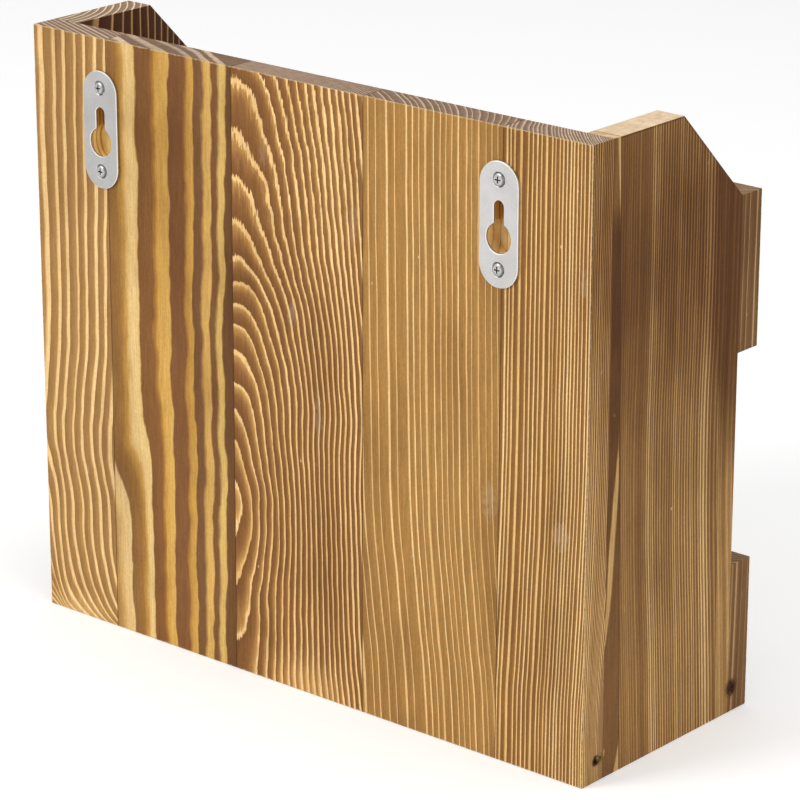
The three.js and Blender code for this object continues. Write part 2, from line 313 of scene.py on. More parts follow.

# %% [markdown]
# ## What is drawn on a single board
# A glue joint is a straight line that may lean, because the staves were sawn out of a wider panel. Sharp
# arrises lost their burned skin to the brush. Knots have a slightly ragged rim, and rubs are so ragged that
# they break up. The pockets behind the steel plates were milled after the flaming, so their wood is fresh:
# there the late wood is the darker one, and the upper end is darkened with painted shade.

# %% Glue lines and worn arrises
GLUE_REACH = 0.55
WORN_REACH = 0.6


def to_nearest(new, lines):
    """Millimetres to the nearest of some lines, each given as (a coordinate, its value on the line)."""
    nearest = 100
    for value, at in lines:
        gap = new("Math SUBTRACT", [value, at])
        gap = new("Math ABSOLUTE", [gap])
        nearest = new("Math MINIMUM", [nearest, gap])
    return nearest


def glue_line(new, place, joints):
    """1 on a glue joint and 0 away from it; joints are (mm across at mid-height, lean over the height)."""
    lines = []
    for middle, lean in joints:
        sockets = [place["along"], lean / HEIGHT, middle - lean / 2]
        lines.append((place["across"], new("Math MULTIPLY_ADD", sockets)))
    return new("MapRange SMOOTHSTEP", [to_nearest(new, lines), 0.1, GLUE_REACH, 0.6, 0])


def worn(new, place, colour, arrises):
    """Paler, chipped wood along the face's arrises, which are (across or along, place in mm)."""
    nearest = to_nearest(new, [(place[way], at) for way, at in arrises])
    nearest = new("Math MAXIMUM", [nearest, place["into"]])
    chipped = new("Math ADD", [nearest, unsteady(new, place, (1.5, 1.5, 1.5), 0.45, 61)])
    wear = new("MapRange", [chipped, 0.05, WORN_REACH, 0.55, 0])
    return new("Mix RGBA", [wear, colour, "DDC094"])


print("a glue line is", 2 * GLUE_REACH, "mm wide, and arrises are worn to", WORN_REACH, "mm")

# %% Knots and rubs
# The height of the specks in a ragged rim, and how far they reach
KNOT_RIM, RUB_RIM = (1.4, 0.4), (3, 1.3)
SPOT_RIM, SPOT_CORE = 0.15, 0.6


def spotted(new, place, colour, way, spots, rim=KNOT_RIM):
    """Soft spots on a colour: (across or into, along, width, height in mm, strength, colour)."""
    ragged = unsteady(new, place, (1.4, 1.4, rim[0]), rim[1], 51)
    # Spots that are placed into the board are on its outer edge and in the hollows of that edge
    edge = new("MapRange", [place["across"], WIDTH - 5, WIDTH - 3])
    for middle, along, width, height, strength, paint in spots:
        core = oval(new, place, way, middle, along, width, height)
        core = new("Math MULTIPLY_ADD", [core, ragged, core])
        cover = new("MapRange", [core, SPOT_RIM, SPOT_CORE, 0, strength])
        cover = new("Math MULTIPLY", [cover, edge if way == "into" else 1])
        colour = new("Mix RGBA", [cover, colour, paint])
    return colour


print("a spot fades out over", round(SPOT_CORE - SPOT_RIM, 2), "of its size")

# %% Milled pockets
# Half a pocket's size and its middle, in mm; in the depth, it starts where the flame didn't reach
POCKET = {"across": 13.5, "along": 24, "into": 7}
POCKET_LEVEL, POCKET_DEPTH = 255.5, 7.4
# Painted shade for the upper end of a pocket: a brown that the fresh wood is multiplied by
POCKET_SHADE = (0.7, 0.52, 0.28, 1)


def milled_pocket(new, place, tone, colour, middle, tint):
    """Fresh wood in the pocket behind a plate, darkened with painted shade above the plate's middle."""
    milled = 1
    for way, at in (("across", middle), ("along", POCKET_LEVEL), ("into", POCKET_DEPTH)):
        within = new("Math COMPARE", [place[way], at, POCKET[way]])
        milled = new("Math MULTIPLY", [milled, within])
    fresh = new("Mix RGBA", [tone, "F2D193", "BA8E50"])
    # Painted shade: above the plate's middle, the fresh wood is multiplied by a dark brown
    shade_above = new("MapRange", [place["along"], 252, 258])
    painted_shade = new("Mix RGBA", [shade_above, tint, POCKET_SHADE])
    fresh = new("VectorMath MULTIPLY", [fresh, painted_shade])
    return new("Mix RGBA", [milled, colour, fresh])


print("a pocket is at most", 2 * POCKET["across"], "by", 2 * POCKET["along"], "mm")

# %% [markdown]
# ## The finished board
# Raw pine has an IOR near 1.5, but a brushed and charred surface scatters most of what it would mirror, so
# the specular level is low, or the dark rings would look dusty. The brush took 0.2 mm out of the soft wood,
# 0.8 of the distance of the bump.

# %% From a tone and a colour to a material
def dress(names, material, sockets):
    """Close a material with a shader that has these sockets, give it to CAD pieces, and say so."""
    shader = add(material.node_tree, "BsdfPrincipled", sockets)
    add(material.node_tree, "OutputMaterial", {"Surface": shader})
    for name in names:
        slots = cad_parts[name].data.materials
        slots.clear()
        slots.append(material)
    print(material.name, "with", len(material.node_tree.nodes), "nodes on", len(names), "pieces:", names[0])


def finish_wood(names, place, tone, colour, joints=(), ends=("7E6450", "D8BDA3"), burn=0, pocket=None,
                marks=(), arrises=()):
    """Surface group, marks, bump and shader for boards whose rings give a tone and a colour."""
    new = partial(add, place["material"].node_tree)
    surface = new("Group", {
        "Colour": colour, "Tone": tone, "Across": place["across"], "Into": place["into"],
        "Along": place["along"], "End": place["end"], "Glue": glue_line(new, place, joints), "Burn": burn,
        "End brown": ends[0], "End pale": ends[1],
    }, node_tree=worked)
    seen = surface.outputs["Colour"]
    if pocket:
        seen = milled_pocket(new, place, tone, seen, *pocket)
    for mark in marks:
        seen = spotted(new, place, seen, *mark)
    if arrises:
        seen = worn(new, place, seen, arrises)
    relief = new("Bump", {"Height": surface.outputs["Height"], "Strength": 0.5, "Distance": 0.00025})
    dress(names, place["material"], {
        "Base Color": seen, "Roughness": surface.outputs["Roughness"], "Normal": relief, "IOR": 1.5,
        "Specular IOR Level": 0.1,
    })


print("wood is finished by", finish_wood.__name__)

# %% [markdown]
# ## The back panel, stave by stave
# The back is glued from five staves from different places in the log. Their rings lie at a slant in the
# thickness of the board, which ties the face and the top edge together. First comes the stave at the left of
# the picture: seven pale lines that wave gently and swirl round a branch at the bottom.

# %% Stave with waving lines: the course of its fibres
BACK_JOINTS = [(47.8, 1.4), (128.6, 1.4), (209.4, 1.4), (290.2, 1.4)]
BACK_LINES = {"joints": BACK_JOINTS,
              "arrises": [("across", 0), ("across", WIDTH), ("along", 0), ("along", HEIGHT)]}
# Where the pockets are, and how much paler their wood is
LEFT_POCKET, RIGHT_POCKET = (45.2, (1.2, 1.28, 1.2, 1)), (289.7, (1, 1, 1, 1))
new, place, across, into, along = new_board("waving", BACK)
swirl = drawn(new, along, [
    (0, 22), (6, 12.7), (12, 8), (19, 4.6), (31, 1.6), (44, 0), (62, -0.6), (78, -3.4), (94, -5.6),
    (112, -3.8), (131, -1.2), (150, 0), (225, 0.6), (262, 0.4), (300, 0)])
# Towards the top the lines spread, and near the bottom those at the outer edge are pushed in
spread = drawn(new, along, [(0, 1), (150, 1), (225, 0.965), (300, 0.915)])
low = new("MapRange SMOOTHSTEP", [along, 92, 48, 0, 6.5])
outer = new("MapRange SMOOTHSTEP", [across, 14, 2, 0, 1])
pushed = new("Math MULTIPLY", [low, outer])
wander = unsteady(new, place, (16, 30, 26), 0.55, 1)
sway = unsteady(new, place, (60, 60, 55), 0.8, 4)
shift = new("Math MULTIPLY_ADD", [swirl, -1, wander])
spot = new("Math MULTIPLY_ADD", [across, spread, shift])
spot = new("Math ADD", [spot, sway])
spot = new("Math SUBTRACT", [spot, pushed])
spot = new("Math MULTIPLY_ADD", [into, 2.3, spot])
print("the swirl moves a line by up to 22 mm")

# %% Stave with waving lines: its rings and colours
GOLDEN = ["9D7341", "B88D53", "D7AA6A", "EDC384", "F9D89D"]
years = drawn(new, spot, [
    (-26, -6), (-21, -5), (-17, -4), (-13, -3), (-8.6, -2), (-3, -1), (5.6, 0), (13, 1), (19, 2), (25.6, 3),
    (31.6, 4), (38.6, 5), (44.6, 6), (51.5, 7), (60, 8.2), (75, 11), (90, 14)])
tone = grown(new, years, late=0.23, fade=0.4, variation=0.6, seed=31)
# The flame hardly reached the lowest corner
pale = oval(new, place, "across", 22, 0, 34, 17)
lit = new("Math MULTIPLY_ADD", [pale, 0.4, tone], use_clamp=True)
colour = new("ValToRGB", [lit], stops=GOLDEN)
burn = drawn(new, along, [(0, 0), (130, 0), (180, 0.2), (300, 0.24)])
finish_wood(["back_stave_5"], place, tone, colour, burn=burn, pocket=LEFT_POCKET, **BACK_LINES)

# %% [markdown]
# The second stave grew fast, so its rings are up to 20 mm wide, each with a colour of its own: cream, gold
# or dark brown. A ramp of listed colours suits it better than a repeating ring. Low down, the bands
# step to the right where the tree covered an old branch.

# %% Stave with broad bands: the course of its fibres
new, place, across, into, along = new_board("broad", BACK)
level = new("Math MULTIPLY_ADD", [across, 1.4, 6.2])
below = new("Math SUBTRACT", [level, along])
step = new("MapRange SMOOTHSTEP", [below, -20, 24, 0, 10])
foot = new("MapRange", [along, 90, 0, 0, 1.5])
push = new("Math ADD", [step, foot])
# The step is largest at the left joint and dies out within 40 mm
left = drawn(new, across, [
    (46, -1.05), (59.5, -1.1), (68.8, -0.95), (73.3, -0.62), (83.3, -0.26), (87.5, -0.08), (95, 0),
    (130, 0)])
lean = drawn(new, along, [
    (0, 0.6), (75, -0.4), (110, -0.8), (150, 0), (200, -1.5), (281, -3.6), (300, -3.9)])
right = new("MapRange", [across, 64, 118])
spot = new("Math MULTIPLY_ADD", [push, left, across])
spot = new("Math MULTIPLY_ADD", [lean, right, spot])
spot = new("Math ADD", [spot, unsteady(new, place, (20, 30, 22), 1.4, 6)])
spot = new("Math ADD", [spot, unsteady(new, place, (5, 5, 12), 0.5, 10)])
slant = new("MapRange", [across, 56, 124, 2.3, 1.25])
spot = new("Math MULTIPLY_ADD", [slant, into, spot])
print("the bands step by", step.inputs[4].default_value, "mm")

# %% Stave with broad bands: its colours
BANDS = [
    (30, "8A6038"), (37, "B98D4E"), (41, "E4BE7E"), (46, "EBC98C"), (46.7, "8F653A"), (54, "A0733A"),
    (58, "C8994C"), (59.8, "E6BF7B"), (63, "EECB8B"), (66.5, "E6C07A"), (67.3, "82572F"), (76.4, "8B5E34"),
    (78.4, "AF7C36"), (80, "D3A250"), (86.9, "DBAE5C"), (87.6, "825633"), (96.6, "895C35"), (98.8, "C9964A"),
    (102.1, "D9A951"), (102.9, "7E5737"), (107.4, "835C39"), (109.6, "DDAF5E"), (113.2, "DDB064"),
    (113.9, "7F5632"), (117, "835B36"), (118.9, "E0B96C"), (121.8, "DDB668"), (122.5, "74502F"),
    (132, "6C4829"),
]
first, last = BANDS[0][0], BANDS[-1][0]
share = new("MapRange", [spot, first, last])
stops = [((at - first) / (last - first), paint) for at, paint in BANDS]
colour = new("ValToRGB", [share], stops=stops)
# The bright bands are the hard ones, so their green channel serves as the tone
bright = new("SeparateColor", [colour])
tone = new("MapRange", [bright.outputs[1], 0.12, 0.55])
burn = drawn(new, along, [(0, 0.08), (120, 0.08), (190, 0.32), (300, 0.3)])
finish_wood(["back_stave_4"], place, tone, colour, burn=burn, pocket=LEFT_POCKET, **BACK_LINES)

# %% [markdown]
# The third stave was cut close to the bark, nearly parallel to the rings, which gives the tall arches that
# woodworkers call cathedrals. The ring number is the distance from the middle of the tree, whose depth
# behind the board changes with height, as in a trunk that tapers. The saw met the rings at a very flat
# angle, so a streaky noise on that depth makes the arches ragged.

# %% Stave with the cathedral: distance from the middle of the tree
new, place, across, into, along = new_board("cathedral", BACK)
depth = drawn(new, along, [
    (0, 12.3), (45, 10.9), (85, 9.6), (110, 10.5), (145, 12.6), (175, 15), (195, 16.7), (207, 17.8),
    (223, 18.8), (246, 19.85), (268, 20.9), (300, 22.3)])
ragged = unsteady(new, place, (0.8, 0.8, 7), 0.11, 9)
rough_above = new("MapRange", [along, 190, 250, 0.5, 1.3])
deep = new("Math MULTIPLY_ADD", [ragged, rough_above, depth])
deep = new("Math ADD", [deep, unsteady(new, place, (26, 40, 30), 0.28, 12)])
middle = drawn(new, along, [(0, -2), (60, -5), (100, -5), (150, -1), (200, 2), (300, 4)])
from_joint = new("Math SUBTRACT", [across, BACK_JOINTS[1][0]])
beside = new("Math SUBTRACT", [from_joint, middle])
# The arches fan out towards the foot. Sideways, the rings are 2.9 mm apart
fan = new("MapRange", [along, 85, 0, 1, 0.93])
wander = unsteady(new, place, (14, 14, 38), 0.5, 15)
sideways = new("Math MULTIPLY_ADD", [beside, fan, wander])
sideways = new("Math DIVIDE", [sideways, 2.9])
flat = new("CombineXYZ", [sideways, deep])
distance = new("VectorMath LENGTH", [flat])
years = new("Math MULTIPLY_ADD", [into, 0.6, distance])
print("the middle of the tree is 10 to 22 rings behind the face")

# %% [markdown]
# Towards the right the pale lines get fine and their golden fade dies out. On the top edge the rings lie
# nearly flat, and all but vanish. The flame lingered a little right of the arches and hardly reached the
# foot, and the face has a few whitish rubs.

# %% Stave with the cathedral: its colours
EARTHY = ["7F542D", "936537", "B8894B", "E7B870", "F7D196"]
late = new("MapRange", [from_joint, 10, 70, 0.15, 0.24])
fade = new("MapRange", [from_joint, 10, 60, 0.85, 0.6])
tone = grown(new, years, late, fade, variation=0.4, seed=57)
lighter = oval(new, place, "across", 192, 262, 34, 110)
lit = new("Math MULTIPLY_ADD", [lighter, 0.2, tone])
pale = oval(new, place, "across", 176, 0, 44, 30)
lit = new("Math MULTIPLY_ADD", [pale, 0.45, lit], use_clamp=True)
colour = new("ValToRGB", [lit], stops=EARTHY)
hidden = new("MapRange", [from_joint, 20, 70, 0.85, 0.2])
hidden = new("Math MULTIPLY", [hidden, place["end"]])
seen_tone = new("Mix", [hidden, tone, 0.45])
burn = new("Math MULTIPLY", [oval(new, place, "across", 182, 105, 22, 120), 0.32])
RUBS = [(182, 141, 4.5, 18, 0.14, "C9B79E"), (204, 238, 3.5, 16, 0.12, "D6C4A8"),
        (166, 188, 4, 9, 0.17, "CBBBA6"), (149, 262, 3.5, 8, 0.12, "CBBBA6")]
finish_wood(["back_stave_3"], place, seen_tone, colour, ends=("745B48", "C9AE95"), burn=burn,
            marks=[("across", RUBS, RUB_RIM)], **BACK_LINES)

# %% [markdown]
# The last two staves have upright, narrow rings. The fourth is the palest, and its thin lines lean to the
# right near the bottom. Ring widths change slowly from year to year, so a curve counts the rings across the
# stave, and a one-way noise makes them uneven. The quiet boards use the same two tools.

# %% Upright rings and their luck
def across_rings(new, place, lean, sizes, reach, seed, slant):
    """Millimetres across the rings, where fibres lean by a curve and rings slant in the thickness."""
    spot = new("Math ADD", [place["across"], drawn(new, place["along"], lean)])
    spot = new("Math ADD", [spot, unsteady(new, place, sizes, reach, seed)])
    return new("Math MULTIPLY_ADD", [slant, place["into"], spot])


def lucky(new, spot, width, reach, detail=1):
    """One-way noise between -reach and +reach, in spots of this width across the rings."""
    noise = new("TexNoise 1D", [spot, 1 / width, detail])
    return new("MapRange", [noise, 0.25, 0.75, -reach, reach])


print("tools:", across_rings.__name__, lucky.__name__)

# %% Stave with fine pale lines
HONEY = ["A77A41", "B5894C", "CBA063", "EBC081", "FAD597"]
new, place, across, _, along = new_board("fine", BACK)
lean = [(0, -11.6), (20, -10.6), (37, -9.2), (50, -7.4), (75, -4.6), (94, -2.4), (112, -1.1), (150, 0),
        (300, 1.6)]
slant = new("MapRange", [across, 210, 290, 1.45, 0.5])
spot = across_rings(new, place, lean, (14, 14, 46), 0.35, 18, slant)
counted = drawn(new, spot, [(190, 0), (212, 4.4), (243, 10.4), (262, 15.4), (292, 23.6), (320, 32)])
years = new("Math ADD", [counted, lucky(new, spot, 9, 0.3)])
tone = grown(new, years, late=0.15, fade=0.26, variation=0.6, seed=77)
colour = new("ValToRGB", [tone], stops=HONEY)
# The flame went slower along the joints
burn = drawn(new, across, [(205, 0.3), (213, 0.15), (224, 0), (274, 0), (284, 0.12), (294, 0.3)])
finish_wood(["back_stave_2"], place, tone, colour, burn=burn, pocket=RIGHT_POCKET,
            marks=[("across", [(285, 125, 6, 15, 0.17, "D2BFA2")], RUB_RIM)], **BACK_LINES)

# %% [markdown]
# The fifth stave is finer and darker, and its rings turn in the thickness of the board, so they also draw
# the fine lines on the panel's outer edge, which the flame caught harder. The smooth, reddish foot of that
# edge holds an open knot: a pale fibre in a slit, painted nearly black where its hollow is in shade.

# %% Stave at the panel's edge: its rings
new, place, across, _, along = new_board("edge", BACK)
lean = [(0, 4.6), (30, 4.5), (50, 3.6), (75, 2.5), (100, 1.4), (125, 0.5), (150, 0), (200, -0.3),
        (300, -0.6)]
# Seen on the panel's edge, the lines draw together towards the foot
slant = new("MapRange", [across, 290, 340, 0.6, 1.25])
gathered = new("MapRange SMOOTHSTEP", [along, 110, 20, 1, 1.4])
slant = new("Math MULTIPLY", [slant, gathered])
spot = across_rings(new, place, lean, (12, 12, 60), 0.3, 24, slant)
counted = drawn(new, spot, [
    (284, 0), (300, 5.6), (318, 12.2), (330, 18), (340, 23.4), (362, 37), (380, 49)])
years = new("Math ADD", [counted, lucky(new, spot, 7, 0.35)])
tone = grown(new, years, late=0.27, fade=0.5, variation=0.5, seed=91)
print("rings get finer towards the edge, from 2.9 to 1.9 mm")

# %% Stave at the panel's edge: its colours, and its open knot with painted shade
UMBER = ["85592B", "976A38", "BA8E4F", "E8BC7A", "F8D397"]
# The open knot's colours; its nearly black slit at the left is painted shade in the knot's hollow
OPEN_KNOT_AND_SHADE = [(15, 22, 6.5, 60, 0.75, "96704A"), (12.4, 10.7, 5.6, 4.4, 1, "7D5F3C"),
             (12.9, 11.2, 1.4, 3, 0.7, "AE8A5C"), (9.9, 10.4, 4.2, 4.2, 1, "1E1107")]
lighter = drawn(new, along, [(0, 0.06), (130, 0.06), (200, 0)])
lit = new("Math ADD", [tone, lighter], use_clamp=True)
colour = new("ValToRGB", [lit], stops=UMBER)
on_edge = drawn(new, along, [(0, 0), (100, 0.1), (190, 0.55), (300, 0.8)])
on_edge = new("Math MULTIPLY", [place["side"], on_edge])
on_face = oval(new, place, "across", 325, 120, 13, 130)
burn = new("Math MULTIPLY_ADD", [on_face, 0.4, on_edge])
rubs = [(326, 118, 8, 10, 0.18, "D2BFA2"), (336, 238, 3, 10, 0.15, "D2BFA2")]
finish_wood(["back_stave_1"], place, tone, colour, burn=burn, pocket=RIGHT_POCKET,
            marks=[("into", OPEN_KNOT_AND_SHADE), ("across", rubs, RUB_RIM)], **BACK_LINES)

# %% [markdown]
# ## Sides, slats and bottom
# The flame stayed longer on the other boards, and longest at the top, so they are darker. Their rings stand
# nearly upright, so their faces show long, straight, quiet lines. One recipe serves them all.

# %% A recipe for the quiet boards
WALNUT = ["835B33", "936B3D", "AD844D", "C9A066", "DDB880"]
TAN = ["7C5935", "8B673F", "A07B50", "BA9467", "D0AC7F"]
FOOT_OUT = ((0, -7), (30, -5.4), (60, -3.6), (90, -1.6), (120, -0.2), (160, 0.6), (200, 0), (300, 0.5))


def quiet_board(name, directions, counted, slant, colours, seed, lean=FOOT_OUT, late=0.22, jitter=0.8,
                variation=0.9, contrast=None, base=None, lift=None):
    """The rings of a quiet board: counted is a ring width in mm, or a curve that counts rings across it."""
    new, place, _, _, along = new_board(name, directions)
    spot = across_rings(new, place, lean, (18, 18, 90), 0.35, seed, slant)
    if isinstance(counted, tuple):
        years = drawn(new, spot, counted)
    else:
        years = new("Math DIVIDE", [spot, counted])
    # Slow luck across the board, in ring spacing and in how the flame took each bundle of rings
    moved = new("Math ADD", [spot, seed * 40])
    years = new("Math ADD", [years, lucky(new, moved, 11, jitter, 1.5)])
    tone = grown(new, years, late, 0.3, variation, seed * 7)
    strong = drawn(new, spot, contrast) if contrast else 0.9
    taken = lucky(new, moved, 6, 0.12, 2)
    tone = new("Math MULTIPLY_ADD", [tone, strong, taken])
    for curve, way in ((base, spot), (lift, along)):
        if curve:
            tone = new("Math ADD", [tone, drawn(new, way, curve)])
    tone = new("Clamp", [tone])
    return new, place, tone, new("ValToRGB", [tone], stops=colours)


print("shades of the sides:", WALNUT)

# %% [markdown]
# The near side shows fine rings under 2 mm wide, and wider ones towards the front. Two groups of rings took
# the flame badly and stay as pale streaks, 46 and 86 mm from the back, with a dark band in front of the
# second. Its thin arrises at the top and along the cut corner burned black, less than 1 mm deep.

# %% Near side: main stave
SIDE_JOINTS = [(23.4, -7.6), (97.4, -7.6)]
SIDE_RINGS = ((15, -5), (42, 10), (83, 32), (92, 35.7), (111, 42))
STREAKS = ((15, 0.45), (42, 0.4), (44, 1), (48.6, 1), (50.6, 0.8), (61.6, 0.8), (63, 1.05), (64.6, 0.85),
           (81.4, 0.95), (83.2, 1.25), (88.6, 1.2), (90.6, 0.9), (111, 0.65))
UNDER_STREAKS = ((15, 0.05), (43, 0.03), (45, 0.08), (48, 0.06), (50, -0.04), (82, -0.05), (84, 0.05),
                 (88.5, 0.05), (91, -0.06), (94, -0.12), (97, -0.08), (111, -0.04))
UP_THE_SIDE = ((0, 0.07), (130, 0.06), (210, 0), (300, 0))


def charred_rim(new, place, burn):
    """The burn with the blackened arrises of the top and of the 45 degree cut added."""
    below_top = new("Math SUBTRACT", [HEIGHT, place["along"]])
    # On the cut, the distance from the back and the height add up to 365 mm
    off_cut = new("Math ADD", [place["across"], place["along"]])
    off_cut = new("Math MULTIPLY_ADD", [off_cut, -0.707, 0.707 * 365])
    rim = new("Math MINIMUM", [below_top, off_cut])
    rim = new("MapRange SMOOTHSTEP", [rim, 0.3, 1.2, 0.7, 0])
    return new("Math ADD", [burn, rim])


new, place, tone, colour = quiet_board(
    "left_side", LEFT_SIDE, SIDE_RINGS, 0.3, WALNUT, 3, late=0.3, jitter=0.3, variation=0.5,
    contrast=STREAKS, base=UNDER_STREAKS, lift=UP_THE_SIDE)
burn = drawn(new, place["along"], [(0, 0), (75, 0.05), (150, 0.44), (225, 0.9), (262, 0.84), (300, 0.62)])
finish_wood(["left_side_stave_2"], place, tone, colour, SIDE_JOINTS, ("E0C29C", "F4E0C4"),
            charred_rim(new, place, burn))

# %% [markdown]
# The narrow stave at the front edge is light at the foot and dark from the middle up. At its foot sits half
# of a grown-in knot, a brown halo round a nearly black heart. The other half is on the slat beside it.

# %% Near side: front stave
FRONT_KNOT = [(113.9, 12, 8, 8.2, 0.75, "5E3A1C"), (114, 12.2, 5.6, 6.4, 1, "341C0A")]
new, place, tone, colour = quiet_board(
    "left_front", LEFT_SIDE, 3.4, 0.6, WALNUT, 11, late=0.18, jitter=0.5, contrast=((90, 0.35), (111, 0.4)),
    lift=((0, 0.42), (110, 0.36), (170, 0.05), (300, 0)))
burn = drawn(new, place["along"], [(0, 0), (100, 0), (140, 0.3), (190, 1), (300, 1.1)])
finish_wood(["left_side_stave_3"], place, tone, colour, SIDE_JOINTS, ("D0AC84", "EED2AC"),
            charred_rim(new, place, burn), marks=[("across", FRONT_KNOT)])

# %% [markdown]
# The front has two slats, sawn out of panels like the back, so each is five staves with upright fibres. On
# the outer stave the rings lie parallel to the slat's face, and its end shows them as thin pale lines.

# %% Slats
SLAT_LEAN = ((0, -1.5), (75, 0), (150, 1), (254, 2))
ON_SLAT = [(DEPTH - across, *rest) for across, *rest in FRONT_KNOT]
# Seed, heights of the long edges, glue joints, and the rings, strength and knot of the outer stave
SLATS = {
    "upper_slat": (20, (179, 254), (31.6, 112.4, 193.2, 274),
                   ((260, -19), (340, -1.2), (345.9, 0), (351.6, 1), (355, 2), (361, 3.5)),
                   ((0, 1.1), (400, 1.2)), ()),
    "lower_slat": (26, (0, 75), (62.6, 143.4, 224.2, 305),
                   ((296, -11), (338, -1.1), (341.9, 0), (345.8, 1), (351, 2), (354.8, 3), (360, 4.2)),
                   None, [("into", ON_SLAT)]),
}
for slat, (seed, edges, joints, end_lines, contrast, knot) in SLATS.items():
    lines = [(across, 0) for across in joints]
    arrises = [("across", 0), ("across", WIDTH), *(("along", height) for height in edges)]
    for stave in range(1, 6):
        counted, slant, luck, marks = 3.6 + 0.5 * (stave % 3), 1 + 0.4 * (stave % 2), {}, ()
        if stave == 1:
            luck = {"jitter": 0.15, "late": 0.16, "contrast": contrast}
            counted, slant, marks = end_lines, 1, knot
        new, place, tone, colour = quiet_board(
            f"{slat}_{stave}", SLAT, counted, slant, TAN, seed + stave, SLAT_LEAN, **luck)
        burn = drawn(new, place["along"], [(0, 0.08), (75, 0.12), (180, 0.34), (300, 0.44)])
        finish_wood([f"{slat}_stave_{stave}"], place, tone, colour, lines, ("7C6044", "C4A780"), burn,
                    marks=marks, arrises=arrises)

# %% [markdown]
# The bottom isn't seen in the photograph. Its fibres run along the holder, as is usual, because they hold
# dowels at the long edges, so it gets the quiet recipe, turned along the width.

# %% Bottom
new, place, tone, colour = quiet_board("bottom", BOTTOM, 4.5, 1.8, TAN, 40, ((0, 0), (170, 3), (340, 1)))
finish_wood(["bottom_board"], place, tone, colour)

# %% [markdown]
# ## Two special pieces
# The narrow rear stave of the near side is one single ring of dark early wood, crossed by a cream streak
# that wanders from its glue line to the back panel. The streak is drawn by its course and its half width,
# which is below zero where there is none. The last 40 mm at the top are a golden brown.

# %% Near side: rear wedge
new, place, across, into, along = new_board("wedge", LEFT_SIDE)
course = drawn(new, along, [
    (0, 25.6), (8, 26.6), (20, 27.4), (30, 22), (50, 14), (70, 15.7), (85, 17.1), (110, 18.8), (130, 20.5),
    (150, 21.9), (170, 22.4), (205, 21.9), (262, 20.4), (300, 18.5)])
width = drawn(new, along, [
    (0, 2.4), (8, 1.4), (20, 0), (26, -1), (52, -1), (66, 0.4), (85, 1.6), (110, 2), (130, 1.8),
    (150, 0.9), (162, 0), (190, -0.8), (240, -0.6), (262, 0), (280, 0.7), (300, 1)])
centre = new("Math MULTIPLY_ADD", [into, 0.4, across])
aside = new("Math SUBTRACT", [centre, course])
aside = new("Math ABSOLUTE", [aside])
inside = new("Math SUBTRACT", [width, aside])
streak = new("MapRange SMOOTHSTEP", [inside, -0.7, 0.7, 0, 0.85])
tone = new("Math ADD", [streak, unsteady(new, place, (1.4, 1.4, 60), 0.12, 34)])
golden = drawn(new, along, [(0, 0), (254, 0), (272, 0.3), (300, 0.36)])
tone = new("Math ADD", [tone, golden], use_clamp=True)
colour = new("ValToRGB", [tone], stops=["7C5631", "8C6339", "A67C47", "C39A5C", "D8B176"])
burn = drawn(new, along, [(0, 0), (75, 0.15), (140, 0.85), (250, 1), (272, 0.6), (300, 0.5)])
kept = new("Math MULTIPLY_ADD", [streak, -0.75, 1])
burn = new("Math MULTIPLY", [burn, kept])
finish_wood(["left_side_stave_1"], place, tone, colour, SIDE_JOINTS, ("C9A37A", "E6C79C"), burn,
            marks=[("across", [(15.9, 12.4, 1.1, 3.2, 0.55, "C79E6A")])])

# %% [markdown]
# The far side shows broad curved rings on its top, and golden lines on a nearly black inner face. Both come
# from one drawing: circles round a middle that lies 18 mm from the back and 35 mm outside the holder, 3.3
# mm apart.

# %% Far side
CHARRED = ["50301B", "633F2A", "7C593A", "AA8558", "C99F6C"]
new, place, across, into, along = new_board("far_side", RIGHT_SIDE)
drift = drawn(new, along, [(0, 6), (90, -3), (180, 2), (300, 0)])
along_side = new("Math SUBTRACT", [across, 18])
along_side = new("Math ADD", [along_side, unsteady(new, place, (30, 30, 60), 0.8, 44)])
outside = new("Math ADD", [into, 35])
outside = new("Math ADD", [outside, drift])
flat = new("CombineXYZ", [along_side, outside])
distance = new("VectorMath LENGTH", [flat])
years = new("Math MULTIPLY_ADD", [distance, 1 / 3.3, -15.6])
tone = grown(new, years, late=0.17, fade=0.2, variation=0.25, seed=63)
colour = new("ValToRGB", [tone], stops=CHARRED)
finish_wood(["right_side_stave_1", "right_side_stave_2"], place, tone, colour, [(83, 3)],
            ("8E7258", "F2DEC2"))

# %% [markdown]
# ## Steel and beech
# The keyhole plates are stamped from sheet steel, zinc-plated and tumbled. Their faces are satin grey, with
# a very fine grain without direction, and their rounded rims were polished by the tumbling, so they are
# smoother, and they carry a painted highlight of near-white colour. The rim is found by its normal: it faces
# neither straight back nor straight sideways.

# %% Keyhole plates
plates = [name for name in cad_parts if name.endswith("keyhole_plate")]
material, new = new_tree("satin_zinc_plate")
where = new("TexCoord")
# Tumbling marks, drawn 0.4 mm wide in place of the real 0.05 mm
grain = new("TexNoise", [where.outputs["Object"], 2500, 3])
cloud = new("TexNoise", [where.outputs["Object"], 90, 2])
both = new("Mix", [0.35, grain, cloud])
satin = new("ValToRGB", [both], stops=[(0.3, "B0AEAC"), (0.7, "CCCAC8")])
# The plate on the holder's right, at +X, came out of the barrel a little duller
at = new("SeparateXYZ", [where.outputs["Object"]])
duller = new("MapRange", [at.outputs["X"], -0.05, 0.05, 1, 0.82])
satin = new("VectorMath SCALE", [satin, duller])
facing = new("SeparateXYZ", [where.outputs["Normal"]])
facing = new("Math ABSOLUTE", [facing.outputs["Y"]])
turned = new("MapRange SMOOTHSTEP", [facing, 0.985, 0.9])
rim = new("MapRange SMOOTHSTEP", [facing, 0.15, 0.45])
rim = new("Math MULTIPLY", [rim, turned])
